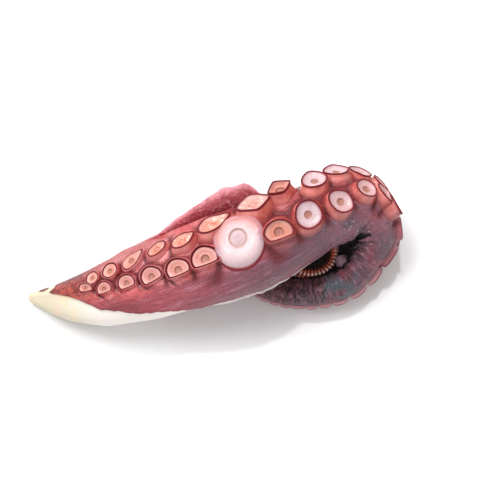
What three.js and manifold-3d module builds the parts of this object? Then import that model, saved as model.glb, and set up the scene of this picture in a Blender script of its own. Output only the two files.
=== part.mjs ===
// Cooked octopus arm, lying on its side in a flat hook: the thick cut end rises from the floor,
// runs over the middle and turns down into a coil whose thin tip curls in under it.
// Millimetres, +Z up, origin at the centre of the footprint on the floor.
import * as THREE from 'three';
import Module from 'manifold-3d';

// Driving dimensions, mm and degrees.
// Route of the arm's core from the cut end to the tip: x, y, z, roll, half width, half depth.
// Roll turns the sucker side about the core: 0 faces up, -90 faces out of the bend.
const ROUTE = [
  [-89.1, -21.4, 2.4, -5, 2.5, 2.5],
  [-73.2, -21.9, 7.7, -5, 7.0, 8.0],
  [-54.4, -19.5, 13.4, -5, 11.5, 12.5],
  [-32.6, -14.2, 19.0, -7, 16.5, 15.5],
  [-8.7, -8.1, 25.3, -12, 19.8, 17.0],
  [12.7, -2.8, 30.4, -20, 21.6, 17.5],
  [33.9, 3.8, 33.0, -25, 21.0, 17.0],
  [52.9, 13.2, 32.4, -34, 18.5, 16.0],
  [69.0, 17.9, 26.5, -58, 15.5, 14.5],
  [77.6, 7.6, 17.6, -86, 13.5, 11.8],
  [72.8, -4.8, 12.0, -105, 11.5, 8.0],
  [63.6, -14.4, 9.7, -118, 10.0, 7.8],
  [48.8, -18.8, 8.2, -125, 8.7, 7.2],
  [33.5, -18.6, 6.8, -125, 7.2, 6.5],
  [21.4, -13.6, 5.8, -120, 6.2, 6.0],
  [16.1, -4.1, 5.2, -110, 5.5, 5.3],
  [21.4, 5.0, 4.7, -100, 4.9, 4.7],
  [32.6, 9.7, 4.6, -90, 4.6, 4.4],
  [45.6, 9.0, 5.2, -75, 4.1, 3.8],
  [53.2, 4.0, 7.6, -60, 3.6, 3.3],
  [54.8, -3.2, 10.0, -50, 3.0, 2.8],
  [50.8, -8.0, 11.0, -45, 2.7, 2.5],
  [44.0, -8.4, 10.3, -45, 2.6, 2.4],
  [39.6, -3.8, 8.0, -50, 2.5, 2.3],
  [42.6, 1.0, 6.0, -60, 2.4, 2.2],
  [48.0, -0.6, 4.4, -70, 2.2, 2.0],
  [47.0, -4.6, 3.4, -80, 1.3, 1.2],
];
// Half width of the near side up to the bend, by distance along the arm.
const NEAR_HALF_WIDTH = [
  [0, 2.2], [10, 8.5], [20, 14.2], [37, 20.0], [60, 22.4], [85, 22.6], [110, 22.6],
  [118, 22.0], [126, 20.2], [134, 17.8], [145, 15.8], [157, 14.6], [168, 13.9], [180, 13.6],
];
// The slanting knife cut leaves a strip of bare flesh: where it starts and how wide it is, in
// degrees round the section, by distance along the arm. The flesh swells out of the cut again.
const CUT_FROM = [
  [16, 0], [28, 29], [38, 53], [52, 68], [60, 73], [74, 84], [84, 97], [102, 108], [130, 116],
];
const CUT_WIDTH = [
  [0, 135], [20, 125], [30, 104], [38, 95], [52, 76], [60, 58], [74, 40], [84, 25], [102, 10], [130, 2],
];
const CUT_FLATTEN = 0.22;
const ORAL_FLATTEN = 0.90;
const DORSAL_SWELL = 1.06;
const BEND_LIMIT = 0.90;
// Two rows of suckers: distance along the arm and angle of the first, large ones. From there on
// each follows the last at a little over its own width, at the later angle.
const NEAR_PLACES = [
  [33.5, 3], [42.5, 13.5], [54, 18], [67, 22], [80.4, 25], [94.3, 25], [110.4, 17],
  [127.2, 29], [141.2, 28], [154.4, 38], [165.4, 38], [171.3, 29], [176.8, 27], [185.3, 10],
  [194, 5], [204, 4], [212.5, 4], [220, 4], [226.5, 4], [232.5, 4],
];
const FAR_PLACES = [
  [37.6, -18], [47.2, -18], [59, -20], [72.6, -20], [85.4, -16], [100.5, -22],
  [120.3, -32], [136.1, -38], [150.3, -24], [161, -30], [168, -30],
];
const LATER_NEAR = 4;
const LATER_FAR = -36;
const SUCKER_START = 5.7;
const SUCKER_START_AT = 36;
const SUCKER_GROWTH = 0.112;
const SUCKER_LARGEST = 13.4;
const SUCKER_SHRINK_FROM = 138;
const SUCKER_SHRINK_OVER = 182;
const BIG_SUCKER_INDEX = 6;
const BIG_SUCKER_DIAMETER = 24;
const SMALLEST_MODELLED = 4.2;
// Which way the suckers face, in degrees round the section, and how tall they stand.
const NEAR_FACING = [
  [30, 8], [90, 12], [112, 20], [126, 34], [160, 38], [166, 32], [171, 14], [177, -4], [186, 0],
];
const FAR_FACING = [
  [30, -10], [60, -14], [75, -20], [98, -24], [114, -27], [130, -20], [150, -4], [160, -2],
  [170, 4], [185, -20],
];
const TALL = [[30, 0.22], [95, 0.22], [125, 0.32], [178, 0.30], [186, 0.14], [215, 0.14]];
const BIG_TALL = 0.12;
// Web flap left on the far side, and the low ridge of cut web on the near side.
const FLAP = { from: 80, to: 128, angle: -62, lean: -34, height: 11.0, peak: 0.79, thick: 1.5 };
const RIDGE = { from: 84, to: 134, angle: 112, lean: 100, height: 1.6, peak: 0.45, thick: 1.2 };
// Resolution.
const RINGS = 60;
const AROUND = 22;
const TABLE = 1200;
const SKIN = [0.62, 0.36, 0.38];

const rad = (deg) => deg * Math.PI / 180;
const clamp = (x, lo, hi) => Math.min(hi, Math.max(lo, x));

// Straight-line interpolation in a short list of [place, value] pairs.
function between(pairs, x) {
  if (x <= pairs[0][0]) return pairs[0][1];
  for (let i = 1; i < pairs.length; i++) {
    const [x1, y1] = pairs[i];
    const [x0, y0] = pairs[i - 1];
    if (x <= x1) return y0 + (y1 - y0) * (x - x0) / (x1 - x0);
  }
  return pairs[pairs.length - 1][1];
}

// Smooth curve through the route's stations, all six columns at once.
function routeAt(t) {
  const n = ROUTE.length;
  const i = Math.min(Math.floor(t), n - 2);
  const w = t - i;
  const at = (k, c) => {
    if (k < 0) return 2 * ROUTE[0][c] - ROUTE[1][c];
    if (k >= n) return 2 * ROUTE[n - 1][c] - ROUTE[n - 2][c];
    return ROUTE[k][c];
  };
  return [0, 1, 2, 3, 4, 5].map((c) => {
    const p0 = at(i - 1, c);
    const p1 = at(i, c);
    const p2 = at(i + 1, c);
    const p3 = at(i + 2, c);
    const m1 = (p2 - p0) / 2;
    const m2 = (p3 - p1) / 2;
    return (2 * w ** 3 - 3 * w ** 2 + 1) * p1 + (w ** 3 - 2 * w ** 2 + w) * m1
      + (-2 * w ** 3 + 3 * w ** 2) * p2 + (w ** 3 - w ** 2) * m2;
  });
}

// The route resampled at equal distances, with direction, curvature and section axes.
function buildTable() {
  const fine = [];
  const steps = 5000;
  for (let i = 0; i <= steps; i++) fine.push(routeAt(i / steps * (ROUTE.length - 1)));
  const run = [0];
  for (let i = 1; i <= steps; i++) {
    const step = Math.hypot(...[0, 1, 2].map((c) => fine[i][c] - fine[i - 1][c]));
    run.push(run[i - 1] + step);
  }
  const total = run[steps];
  const rows = [];
  let j = 0;
  for (let i = 0; i < TABLE; i++) {
    const s = total * i / (TABLE - 1);
    while (j < steps - 1 && run[j + 1] < s) j++;
    const w = clamp((s - run[j]) / (run[j + 1] - run[j]), 0, 1);
    rows.push(fine[j].map((a, c) => a + (fine[j + 1][c] - a) * w));
  }
  return { rows, total };
}

// Running mean with a bell-shaped window, on a list of vectors.
function soften(list, half) {
  const weights = [];
  for (let k = -half; k <= half; k++) weights.push(0.5 + 0.5 * Math.cos(Math.PI * k / (half + 1)));
  const sum = weights.reduce((a, b) => a + b, 0);
  return list.map((_, i) => {
    const out = new THREE.Vector3();
    weights.forEach((w, k) => {
      out.addScaledVector(list[clamp(i + k - half, 0, list.length - 1)], w / sum);
    });
    return out;
  });
}

function slopes(list, spacing) {
  return list.map((_, i) => {
    const a = list[Math.max(i - 1, 0)];
    const b = list[Math.min(i + 1, list.length - 1)];
    const gaps = Math.min(i + 1, list.length - 1) - Math.max(i - 1, 0);
    return b.clone().sub(a).divideScalar(spacing * gaps);
  });
}

const { rows, total: LENGTH } = buildTable();
const SPACING = LENGTH / (TABLE - 1);
const CORE = rows.map((r) => new THREE.Vector3(r[0], r[1], r[2]));
const ALONG = soften(slopes(CORE, SPACING), 15).map((v) => v.normalize());
const BEND = soften(slopes(ALONG, SPACING), 15);
const ORAL = [];
const LATERAL = [];
rows.forEach((r, i) => {
  const up = new THREE.Vector3(0, 0, 1);
  up.addScaledVector(ALONG[i], -ALONG[i].z).normalize();
  const right = new THREE.Vector3().crossVectors(ALONG[i], up);
  const roll = rad(r[3]);
  ORAL.push(up.clone().multiplyScalar(Math.cos(roll)).addScaledVector(right, Math.sin(roll)));
  LATERAL.push(up.clone().multiplyScalar(-Math.sin(roll)).addScaledVector(right, Math.cos(roll)));
});

function place(s) {
  const f = clamp(s, 0, LENGTH) / SPACING;
  const i = Math.min(Math.floor(f), TABLE - 2);
  return [i, f - i];
}
function vectorAt(list, s) {
  const [i, w] = place(s);
  return list[i].clone().lerp(list[i + 1], w);
}
function numberAt(column, s) {
  const [i, w] = place(s);
  return rows[i][column] * (1 - w) + rows[i + 1][column] * w;
}

// Direction in the section: angle 0 looks out of the sucker side, 90 out of the near side.
function outward(s, angle) {
  return vectorAt(ORAL, s).multiplyScalar(Math.cos(angle))
    .addScaledVector(vectorAt(LATERAL, s), Math.sin(angle));
}

// Radius of the section: an oval of four quarters, held back towards the centre of a bend
// so the skin never folds through itself, then flattened a little where the knife went through.
function radius(s, angle) {
  const far = numberAt(4, s);
  const near = s < 180 ? between(NEAR_HALF_WIDTH, s) : far;
  const depth = numberAt(5, s) * (Math.cos(angle) > 0 ? ORAL_FLATTEN : DORSAL_SWELL);
  const width = Math.sin(angle) > 0 ? near : far;
  let r = 1 / Math.hypot(Math.sin(angle) / width, Math.cos(angle) / depth);
  const bend = vectorAt(BEND, s).dot(outward(s, angle));
  const limit = BEND_LIMIT / Math.max(bend, 1e-4);
  r = (r ** -10 + limit ** -10) ** -0.1;
  const half = rad(between(CUT_WIDTH, s) / 2);
  const turn = angle - rad(between(CUT_FROM, s)) - half;
  if (s < 130 && Math.abs(turn) < half) r *= 1 - CUT_FLATTEN * (1 - Math.cos(half) / Math.cos(turn));
  return r;
}
function skin(s, angle) {
  return vectorAt(CORE, s).addScaledVector(outward(s, angle), radius(s, angle));
}

function suckerDiameter(s) {
  const rise = SUCKER_START + (s - SUCKER_START_AT) * SUCKER_GROWTH;
  const spent = clamp((s - SUCKER_SHRINK_FROM) / SUCKER_SHRINK_OVER, 0, 1);
  return Math.max(Math.min(rise, SUCKER_LARGEST * (1 - spent ** 0.92)), 1.25);
}

// Places, angles and sizes of the suckers of one row.
function suckerRow(side) {
  const found = [];
  const places = side > 0 ? NEAR_PLACES : FAR_PLACES;
  const later = side > 0 ? LATER_NEAR : LATER_FAR;
  let [s] = places[0];
  for (let i = 0; s < LENGTH - 3; i++) {
    const big = side > 0 && i === BIG_SUCKER_INDEX;
    const d = big ? BIG_SUCKER_DIAMETER : suckerDiameter(s);
    const angle = i < places.length ? places[i][1] : later;
    found.push({ s, side, d, big, angle: rad(angle) });
    const stretch = Math.max(0, -vectorAt(BEND, s).dot(vectorAt(ORAL, s))) * numberAt(5, s);
    const step = 1.08 * (d + suckerDiameter(s + d)) / 2 / (1 + stretch);
    s = i + 1 < places.length ? places[i + 1][0] : s + step;
  }
  return found;
}

// Mesh helpers: a stack of rings of equal length, closed at both ends by a fan.
function closedStack(rings) {
  const n = rings[0].length;
  const points = rings.flat();
  const triangles = [];
  for (let i = 0; i + 1 < rings.length; i++) {
    for (let j = 0; j < n; j++) {
      const a = i * n + j;
      const b = i * n + (j + 1) % n;
      triangles.push([a, b, a + n], [b, b + n, a + n]);
    }
  }
  const middle = (ring) => ring.reduce((m, p) => m.add(p), new THREE.Vector3()).divideScalar(n);
  const first = points.push(middle(rings[0])) - 1;
  const last = points.push(middle(rings[rings.length - 1])) - 1;
  const top = (rings.length - 1) * n;
  for (let j = 0; j < n; j++) {
    triangles.push([first, (j + 1) % n, j]);
    triangles.push([last, top + j, top + (j + 1) % n]);
  }
  return { points, triangles };
}

function volumeOf({ points, triangles }) {
  let v = 0;
  for (const [a, b, c] of triangles) {
    v += points[a].dot(new THREE.Vector3().crossVectors(points[b], points[c])) / 6;
  }
  return v;
}

function bodyStack() {
  const rings = [];
  for (let i = 0; i < RINGS; i++) {
    // Rings lie closer together towards the thin tip.
    const s = LENGTH * (1 - (1 - i / (RINGS - 1)) ** 1.25);
    const ring = [];
    for (let j = 0; j < AROUND; j++) ring.push(skin(s, 2 * Math.PI * (j + 0.5) / AROUND - Math.PI));
    rings.push(ring);
  }
  return closedStack(rings);
}

// One sucker: a short stalk that flares to a round rim with a shallow cup and a small pit.
function suckerStack({ s, angle, d, side, big }) {
  const r = d / 2;
  const centre = skin(s, angle);
  const lengthwise = skin(s + 0.5, angle).sub(skin(s - 0.5, angle));
  const across = skin(s, angle + 0.05).sub(skin(s, angle - 0.05));
  const normal = new THREE.Vector3().crossVectors(across, lengthwise).normalize();
  if (normal.dot(outward(s, angle)) < 0) normal.negate();
  // The axis keeps the skin's lean along the arm and turns to the row's own facing across it.
  const ahead = vectorAt(ALONG, s);
  const facing = rad(between(side > 0 ? NEAR_FACING : FAR_FACING, s));
  const axis = outward(s, facing).addScaledVector(ahead, normal.dot(ahead)).normalize();
  const e1 = lengthwise.addScaledVector(axis, -lengthwise.dot(axis)).normalize();
  const e2 = new THREE.Vector3().crossVectors(axis, e1);
  const height = (big ? BIG_TALL : between(TALL, s)) * d;
  const sunk = 0.2 * d + 0.5;
  const profile = [[0.78, -sunk]];
  if (d > 7) profile.push([0.80, 0.25 * height]);
  profile.push([1.0, 0.94 * height]);
  if (d > 10.5) profile.push([0.90, 1.03 * height]);
  if (big) profile.push([0.34, 0.66 * height]);
  profile.push([0.28, 0.52 * height]);
  let segments = 6;
  if (d > 5) segments = 7;
  if (d > 8) segments = 9;
  if (d > 10.5) segments = 11;
  if (big) segments = 20;
  const rings = profile.map(([f, h]) => {
    const ring = [];
    for (let j = 0; j < segments; j++) {
      const turn = 2 * Math.PI * j / segments;
      ring.push(centre.clone().addScaledVector(axis, h)
        .addScaledVector(e1, f * r * Math.cos(turn)).addScaledVector(e2, f * r * Math.sin(turn)));
    }
    return ring;
  });
  return closedStack(rings);
}

// A thin fin of web on the skin: it rises to a peak and dies out at both ends.
function finStack({ from, to, angle, lean, height, peak, thick }) {
  const rings = [];
  const stations = 11;
  for (let i = 0; i < stations; i++) {
    const t = i / (stations - 1);
    const s = from + (to - from) * t;
    const rise = t < peak ? t / peak : (1 - t) / (1 - peak);
    const h = height * (0.06 + 0.94 * Math.sin(rise * Math.PI / 2) ** 1.5);
    const root = vectorAt(CORE, s).addScaledVector(outward(s, rad(angle)), radius(s, rad(angle)) - 1.6);
    const edge = outward(s, rad(lean));
    const side = new THREE.Vector3().crossVectors(vectorAt(ALONG, s), edge).normalize();
    const tip = root.clone().addScaledVector(edge, h + 1.6);
    rings.push([
      root.clone().addScaledVector(side, -thick * 0.8),
      root.clone().addScaledVector(side, thick * 0.8),
      tip.clone().addScaledVector(side, thick * 0.35),
      tip.clone().addScaledVector(side, -thick * 0.35),
    ]);
  }
  return closedStack(rings);
}

const wasm = await Module();
wasm.setup();
function solidOf(stack) {
  const flip = volumeOf(stack) < 0;
  const vertProperties = new Float32Array(stack.points.flatMap((p) => [p.x, p.y, p.z]));
  const triVerts = new Uint32Array(stack.triangles.flatMap(([a, b, c]) => (flip ? [a, c, b] : [a, b, c])));
  return new wasm.Manifold(new wasm.Mesh({ numProp: 3, vertProperties, triVerts }));
}

let arm = solidOf(bodyStack());
for (const side of [1, -1]) {
  for (const sucker of suckerRow(side)) {
    if (sucker.d >= SMALLEST_MODELLED) arm = arm.add(solidOf(suckerStack(sucker)));
  }
}
arm = arm.add(solidOf(finStack(FLAP)));
arm = arm.add(solidOf(finStack(RIDGE)));
// The soft underside is pressed flat where it rests on the floor.
const floor = wasm.Manifold.cube([400, 400, 40], true).translate([0, 0, -20]);
arm = arm.subtract(floor);

const mesh = arm.getMesh();
const geometry = new THREE.BufferGeometry();
const positions = new Float32Array(mesh.numVert * 3);
for (let i = 0; i < mesh.numVert; i++) {
  for (let c = 0; c < 3; c++) positions[3 * i + c] = mesh.vertProperties[mesh.numProp * i + c];
}
geometry.setAttribute('position', new THREE.BufferAttribute(positions, 3));
geometry.setIndex(new THREE.BufferAttribute(new Uint32Array(mesh.triVerts), 1));
geometry.computeVertexNormals();
const material = new THREE.MeshStandardMaterial({ color: new THREE.Color(...SKIN), roughness: 0.4 });
material.name = 'octopus_skin';
const node = new THREE.Mesh(geometry, material);
node.name = 'octopus_arm';

const group = new THREE.Group();
group.name = 'cooked_octopus_arm';
group.add(node);
export default group;
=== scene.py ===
# %% [markdown]
# # A cooked octopus arm
# This lesson dresses a plain imported model of an octopus arm in its real skin, suckers and flesh.
# The imported model gives the place and the size. Every piece made here lies where that model lies, so the
# first step is to load it.

# %% Load the imported arm
import bpy
import numpy as np
from types import SimpleNamespace
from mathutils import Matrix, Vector


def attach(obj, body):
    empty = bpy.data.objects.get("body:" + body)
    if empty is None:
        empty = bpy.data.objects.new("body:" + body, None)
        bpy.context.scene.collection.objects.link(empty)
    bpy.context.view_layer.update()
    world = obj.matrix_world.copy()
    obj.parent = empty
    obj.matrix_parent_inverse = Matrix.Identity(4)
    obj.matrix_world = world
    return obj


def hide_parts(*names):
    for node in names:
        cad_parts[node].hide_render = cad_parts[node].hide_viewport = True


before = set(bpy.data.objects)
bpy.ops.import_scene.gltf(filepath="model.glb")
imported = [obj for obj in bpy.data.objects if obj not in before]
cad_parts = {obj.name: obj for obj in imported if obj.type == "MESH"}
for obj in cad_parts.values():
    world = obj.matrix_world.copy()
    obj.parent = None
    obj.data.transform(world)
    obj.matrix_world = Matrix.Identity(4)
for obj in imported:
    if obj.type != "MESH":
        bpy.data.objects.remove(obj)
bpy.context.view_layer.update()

# %% [markdown]
# ## Camera, light and table
# The arm lies on a white table and is seen from nearly overhead. A long lens keeps the far and
# the near end the same size. One wide soft lamp stands high on the left behind the arm, so that
# the shade falls to the lower right, and a pale sky fills the rest.

# %% Camera
MM = 0.001
stage_scene = bpy.context.scene
look_at = Vector((0.0127, 0.0041, 0.018))
elevation, distance, seen_width, sensor_width = np.radians(78.0), 0.900, 0.2304, 36.0

def aimed(name, data, place, way):
    """An object that holds the data, stands at a place and looks along a way."""
    thing = bpy.data.objects.new(name, data)
    thing.location, thing.rotation_mode = place, "QUATERNION"
    thing.rotation_quaternion = way.to_track_quat("-Z", "Y")
    stage_scene.collection.objects.link(thing)
    return thing

towards = Vector((0.0, np.cos(elevation), -np.sin(elevation)))
camera_data = bpy.data.cameras.new("overhead_camera")
camera_data.sensor_width = sensor_width
camera_data.lens = sensor_width * distance / seen_width
camera = aimed("overhead_camera", camera_data, look_at - towards * distance, towards)
stage_scene.camera = camera
stage_scene.view_settings.view_transform = "Standard"
print("lens, mm:", round(camera_data.lens, 1))

# %% Lamps and sky
# place, width in metres, and watts of each square lamp; both face the arm
lamps = {"window_lamp": ((-0.74, 0.70, 1.45), 1.10, 28.5), "spark_lamp": ((0.06, 0.55, 1.00), 0.06, 4.0)}
for name, (place, size, watts) in lamps.items():
    lamp_data = bpy.data.lights.new(name, "AREA")
    lamp_data.size, lamp_data.energy = size, watts
    aimed(name, lamp_data, Vector(place), look_at - Vector(place))
print("lamps:", list(lamps))

# the sky is paler low down than overhead, so that sides are lit as well as tops
sky = bpy.data.worlds.new("pale_sky")
sky.use_nodes = True
nodes, links = sky.node_tree.nodes, sky.node_tree.links
where = nodes.new("ShaderNodeTexCoord")
height_of = nodes.new("ShaderNodeSeparateXYZ")
strength = nodes.new("ShaderNodeMapRange")
for key, value in {"From Min": 0.25, "From Max": 0.95, "To Min": 0.97, "To Max": 0.52}.items():
    strength.inputs[key].default_value = value
links.new(where.outputs["Generated"], height_of.inputs[0])
links.new(height_of.outputs["Z"], strength.inputs["Value"])
links.new(strength.outputs[0], nodes["Background"].inputs["Strength"])
nodes["Background"].inputs["Color"].default_value = (1.0, 1.0, 1.0, 1.0)
stage_scene.world = sky

# %% Table top
table_half = 1.5
table_mesh = bpy.data.meshes.new("table_top")
table_corners = [(x * table_half, y * table_half, 0) for x, y in ((-1, -1), (1, -1), (1, 1), (-1, 1))]
table_mesh.from_pydata(table_corners, [], [(0, 1, 2, 3)])
table_top = bpy.data.objects.new("table_top", table_mesh)
stage_scene.collection.objects.link(table_top)
print("table top, metres wide:", 2 * table_half)

# %% [markdown]
# ## The core of the arm
# An arm is a cord of muscle that gets thinner towards its tip. Its core is a smooth curve through
# a few stations, and each station also says how far the arm has rolled and how wide and deep it
# is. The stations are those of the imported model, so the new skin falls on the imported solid.
# All the sums are in millimetres, and a mesh is scaled to metres when it is made.

# %% Stations of the core
# x, y, z, roll in degrees, half width, half depth
stations = np.array([
    (-89.1, -21.4, 2.4, -5, 2.5, 2.5), (-73.2, -21.9, 7.7, -5, 7.0, 8.0),
    (-54.4, -19.5, 13.4, -5, 11.5, 12.5), (-32.6, -14.2, 19.0, -7, 16.5, 15.5),
    (-8.7, -8.1, 25.3, -12, 19.8, 17.0), (12.7, -2.8, 30.4, -20, 21.6, 17.5),
    (33.9, 3.8, 33.0, -25, 21.0, 17.0), (52.9, 13.2, 32.4, -34, 18.5, 16.0),
    (69.0, 17.9, 26.5, -58, 15.5, 14.5), (77.6, 7.6, 17.6, -86, 13.5, 11.8),
    (72.8, -4.8, 12.0, -105, 11.5, 8.0), (63.6, -14.4, 9.7, -118, 10.0, 7.8),
    (48.8, -18.8, 8.2, -125, 8.7, 7.2), (33.5, -18.6, 6.8, -125, 7.2, 6.5),
    (21.4, -13.6, 5.8, -120, 6.2, 6.0), (16.1, -4.1, 5.2, -110, 5.5, 5.3),
    (21.4, 5.0, 4.7, -100, 4.9, 4.7), (32.6, 9.7, 4.6, -90, 4.6, 4.4),
    (45.6, 9.0, 5.2, -75, 4.1, 3.8), (53.2, 4.0, 7.6, -60, 3.6, 3.3),
    (54.8, -3.2, 10.0, -50, 3.0, 2.8), (50.8, -8.0, 11.0, -45, 2.7, 2.5),
    (44.0, -8.4, 10.3, -45, 2.6, 2.4), (39.6, -3.8, 8.0, -50, 2.5, 2.3),
    (42.6, 1.0, 6.0, -60, 2.4, 2.2), (48.0, -0.6, 4.4, -70, 2.2, 2.0), (47.0, -4.6, 3.4, -80, 1.3, 1.2)])

def smooth_through(points, count):
    """A curve through the points: between two of them it is the cubic that meets both, with a
    slope at each of half the step from the point before to the point after."""
    points = np.asarray(points, float)
    padded = np.vstack([2 * points[0] - points[1], points, 2 * points[-1] - points[-2]])
    t = np.linspace(0, len(points) - 1, count)
    i = np.minimum(t.astype(int), len(points) - 2)
    w = (t - i)[:, None]
    p0, p1, p2, p3 = padded[i], padded[i + 1], padded[i + 2], padded[i + 3]
    m1, m2 = (p2 - p0) / 2, (p3 - p1) / 2
    return ((2 * w**3 - 3 * w**2 + 1) * p1 + (w**3 - 2 * w**2 + w) * m1
            + (-2 * w**3 + 3 * w**2) * p2 + (w**3 - w**2) * m2)

def soften(values, width=61):
    """Running mean of each column with a bell-shaped window."""
    bell = np.hanning(width + 2)[1:-1]
    bell /= bell.sum()
    ends = np.pad(values, ((width // 2, width // 2), (0, 0)), mode="edge")
    return np.stack([np.convolve(ends[:, k], bell, mode="valid") for k in range(values.shape[1])], 1)

fine_steps, table_steps = 6000, 2400
fine = smooth_through(stations, fine_steps)
run = np.r_[0, np.cumsum(np.linalg.norm(np.diff(fine[:, :3], axis=0), axis=1))]
arm_length = run[-1]
s_table = np.linspace(0, arm_length, table_steps)
table = np.stack([np.interp(s_table, run, fine[:, k]) for k in range(6)], 1)
core = table[:, :3]
ahead = soften(np.gradient(core, s_table, axis=0))
ahead /= np.linalg.norm(ahead, axis=1)[:, None]
bend = soften(np.gradient(ahead, s_table, axis=0))
up = np.array([0, 0, 1.0]) - ahead * ahead[:, 2:3]
up /= np.linalg.norm(up, axis=1)[:, None]
right = np.cross(ahead, up)
roll = np.radians(table[:, 3])[:, None]
oral = np.cos(roll) * up + np.sin(roll) * right
lateral = -np.sin(roll) * up + np.cos(roll) * right
print("length along the core, mm:", round(arm_length, 1))

# %% [markdown]
# ## The section
# Cut across, the arm is an oval of four quarters. Angle 0 looks out of the sucker side and
# 90 degrees out of the side that faces the viewer. Where the arm bends hard, the inside is held
# back so that the skin doesn't fold through itself. Near the thick end a slanting knife cut
# takes the side away, and the white flesh shows.

# %% Oval section with the knife cut
def along(values, s):
    """Value of a table at distance s, by straight lines between its rows."""
    f = np.clip(s, 0, arm_length) / arm_length * (len(s_table) - 1)
    i = np.minimum(f.astype(int), len(s_table) - 2)
    w = f - i
    if values.ndim > 1:
        w = w[..., None]
    return values[i] * (1 - w) + values[i + 1] * w

def rise(x, low, high):
    """0 below low, 1 above high, and a smooth S between them."""
    t = np.clip((x - low) / (high - low), 0, 1)
    return t * t * (3 - 2 * t)

def window(x, low, high, fall, gone):
    """Rises from 0 to 1 between low and high, and falls back to 0 between fall and gone."""
    return rise(x, low, high) * (1 - rise(x, fall, gone))

def hump(x, middle, width):
    """A bell of height 1 at middle, which has fallen to about a third at one width away."""
    return np.exp(-(((x - middle) / width) ** 2))

near_places = [0, 10, 20, 37, 60, 85, 110, 118, 126, 134, 145, 157, 168, 180]
near_widths = [2.2, 8.5, 14.2, 20.0, 22.4, 22.6, 22.6, 22.0, 20.2, 17.8, 15.8, 14.6, 13.9, 13.6]
# where the bare flesh starts and how wide it is, in degrees round the section
cut_from = ([16, 28, 38, 52, 60, 74, 84, 102, 130], [0, 29, 53, 68, 73, 84, 97, 108, 116])
cut_width = ([0, 20, 30, 38, 52, 60, 74, 84, 102, 130], [135, 125, 104, 95, 76, 58, 40, 25, 10, 2])
cut_length, flattened = 130, 0.22
# share of the half depth on the sucker side and on the other, and how sharply a limit is met
deep_above, deep_below, sharpness = 0.90, 1.06, 10.0
far_half, depth_half = table[:, 4], table[:, 5]
near_half = np.where(s_table < 180, np.interp(s_table, near_places, near_widths), far_half)

def outward(s, angle):
    """Unit direction in the section at that angle."""
    angle = np.asarray(angle)[..., None]
    return np.cos(angle) * along(oral, s) + np.sin(angle) * along(lateral, s)

def oval(s, angle):
    """Radius of the oval: one over the root of (sine over width) squared plus (cosine over
    depth) squared, then a soft least with 0.9 over the bend towards that side."""
    width = np.where(np.sin(angle) > 0, along(near_half, s), along(far_half, s))
    depth = np.where(np.cos(angle) > 0, deep_above, deep_below) * along(depth_half, s)
    r = 1 / np.sqrt((np.sin(angle) / width) ** 2 + (np.cos(angle) / depth) ** 2)
    inward = (along(bend, s) * outward(s, angle)).sum(-1)
    limit = 0.90 / np.maximum(inward, 1e-4)
    return (r**-sharpness + limit**-sharpness) ** (-1 / sharpness)

def cut(s, angle):
    """How far into the knife cut a point is, in degrees from the nearer rim, and the share of
    the radius that is left there. A flat cut leaves the cosine of half its width over the cosine
    of the turn from its middle; the flesh swells out again, so only part of that is taken."""
    half = np.radians(np.interp(s, *cut_width) / 2)
    turn = angle - np.radians(np.interp(s, *cut_from)) - half
    left = 1 - flattened * (1 - np.cos(half) / np.cos(np.clip(turn, -half, half))) * (s < cut_length)
    return np.degrees(half - np.abs(turn)), left

# %% [markdown]
# ## Where the suckers sit
# Suckers stand in two rows. They grow from the cut end to the thick middle and shrink again to the tip,
# where they are as small as pinheads. One of them is far larger than its neighbours, as often on a male's
# arm. The places of the first, large ones are listed; from there on each follows the last at a little over
# its own width. Each is a record in a list.

# %% Sucker list
near, far = 1, -1
# distance along the arm and angle round it
near_places_by_hand = [
    (33.5, 4), (42.5, 16.5), (54, 19), (67, 22.5), (80.4, 27.5), (94.3, 27.5), (110.4, 17),
    (127.2, 29), (141.2, 28), (154.4, 38), (165.4, 38), (171.3, 29), (176.8, 27), (185.3, 10),
    (194, 5), (204, 4), (212.5, 4), (220, 4), (226.5, 4), (232.5, 4)]
far_places_by_hand = [
    (37.6, -15), (47.2, -16), (59, -16.5), (72.6, -18), (85.4, -13), (100.5, -17),
    (120.3, -26), (136.1, -32), (150.3, -21), (161, -25), (168, -30)]
big_width, big_index, least_width, spacing = 24.0, 6, 1.45, 1.08
# which way the suckers of each row face, in degrees round the section, and how tall they stand
near_facing = ([30, 90, 112, 126, 160, 166, 171, 177, 186], [8, 12, 20, 34, 38, 32, 14, -4, 0])
far_facing = ([30, 60, 75, 98, 114, 130, 150, 160, 170, 185, 290, 300],
              [-10, -14, -20, -24, -27, -20, -4, -2, 4, -20, -20, -36])
tallness = ([30, 95, 125, 178, 186, 215, 298, 308], [0.22, 0.22, 0.31, 0.29, 0.14, 0.14, 0.20, 2.0])

def sucker_width(s):
    """Width that grows steadily from the cut end, stops at the largest, and dies to the tip."""
    growing = 5.7 + (s - 36) * 0.112
    dying = 13.4 * (1 - np.clip((s - 138) / 182, 0, 1) ** 0.92)
    return max(min(growing, dying), least_width)

suckers = []
for side, places, later_turn in ((near, near_places_by_hand, 4), (far, far_places_by_hand, -36)):
    s, index = places[0][0], 0
    while s < arm_length - 3:
        big = side == near and index == big_index
        width = big_width if big else sucker_width(s)
        turn = np.radians(places[index][1] if index < len(places) else later_turn)
        suckers.append(SimpleNamespace(s=s, side=side, index=index, width=width, angle=turn, big=big))
        # where the row is on the outside of a bend, the same step on the skin is less of the core
        away = max(0.0, -float(along(bend, np.array(s)) @ along(oral, np.array(s))))
        stretch = 1 + away * float(along(depth_half, np.array(s)))
        index += 1
        step = spacing * (width + sucker_width(s + width)) / 2 / stretch
        s = places[index][0] if index < len(places) else s + step
print("suckers:", len(suckers))

def plain_point(s, angle):
    """Point on the oval section."""
    return along(core, s) + outward(s, angle) * oval(s, angle)[..., None]

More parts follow.
